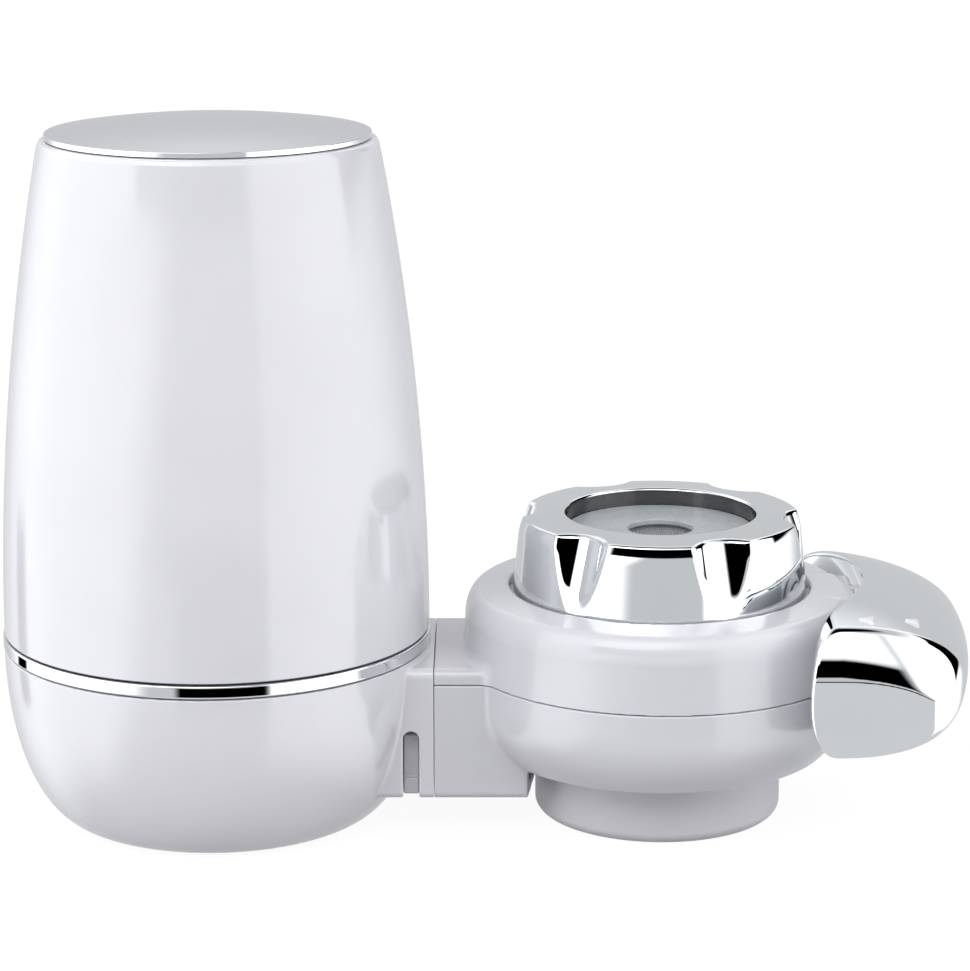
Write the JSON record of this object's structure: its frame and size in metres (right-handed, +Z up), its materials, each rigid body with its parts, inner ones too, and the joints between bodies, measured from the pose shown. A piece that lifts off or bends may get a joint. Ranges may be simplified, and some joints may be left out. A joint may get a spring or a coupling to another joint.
{
  "type": "faucet mount water filter",
  "caption": "Water filter for a kitchen faucet: tall ceramic filter casing joined by an arm to a round selector valve with a fluted swivel nut and a lever.",
  "frame": {"origin": "middle of the filter cup's flat foot, on the filter's upright axis", "axes": "+Z up along the filter and the faucet spout, +X from the filter to the valve and its lever, -Y towards the user at the sink"},
  "size_m": [0.1655, 0.0736, 0.1219],
  "materials": {
    "white_plastic": "glossy moulded plastic, cool white",
    "pale_plastic": "glossy moulded plastic, pale lavender grey",
    "natural_plastic": "natural moulded plastic",
    "chrome": "polished chrome plate",
    "satin_metal": "satin spun metal",
    "steel": "stainless steel",
    "rubber": "black seal rubber",
    "clear_silicone": "translucent grey silicone",
    "ceramic": "fine porous ceramic",
    "carbon": "granular activated carbon",
    "felt": "white felt"
  },
  "bodies": {
    "base": {"filter_cup": "white_plastic", "connector_clip": "natural_plastic", "cover_seal": "rubber", "cartridge_base_cap": "natural_plastic", "spigot_seal_lower": "rubber", "spigot_seal_upper": "rubber", "ceramic_tube": "ceramic", "carbon_pad_lower": "felt", "carbon_core": "carbon", "carbon_pad_upper": "felt", "cartridge_top_cap": "natural_plastic", "raw_water_tube": "natural_plastic", "filtered_water_tube": "natural_plastic", "raw_seal_at_cup": "rubber", "raw_seal_at_valve": "rubber", "filtered_seal_at_cup": "rubber", "filtered_seal_at_valve": "rubber", "valve_lower_shell": "pale_plastic", "valve_upper_shell": "pale_plastic", "shell_screw_1": "steel", "shell_screw_2": "steel", "shell_screw_3": "steel", "shell_screw_4": "steel", "valve_block": "natural_plastic", "inlet_screen": "steel", "inlet_gasket": "clear_silicone", "nut_retaining_ring": "steel", "outlet_nozzle": "pale_plastic", "spray_plate": "natural_plastic", "aerator_sleeve": "natural_plastic", "aerator_screen": "steel", "outlet_seal": "rubber"},
    "nut": {"swivel_nut": "chrome"},
    "selector": {"lever": "chrome", "valve_rotor": "natural_plastic", "rotor_seal_1": "rubber", "rotor_seal_2": "rubber", "rotor_seal_3": "rubber"},
    "cover_ring": {"trim_ring": "chrome"},
    "cover": {"filter_cover": "white_plastic", "top_plate": "satin_metal"}
  },
  "joints": [
    {"name": "nut_turn", "type": "hinge", "parent": "base", "child": "nut", "pos_m": [0.0763, 0, 0.046], "axis": [0, 0, 1], "continuous": true},
    {"name": "lever_turn", "type": "hinge", "parent": "base", "child": "selector", "pos_m": [0.0763, 0, 0.029], "axis": [1, 0, 0], "range_deg": [-45, 45]},
    {"name": "cover_turn", "type": "hinge", "parent": "base", "child": "cover_ring", "pos_m": [0, 0, 0.032], "axis": [0, 0, 1], "range_deg": [0, 360]},
    {"name": "cover_lift", "type": "slide", "parent": "cover_ring", "child": "cover", "axis": [0, 0, 1], "range_m": [0, 0.088]}
  ]
}
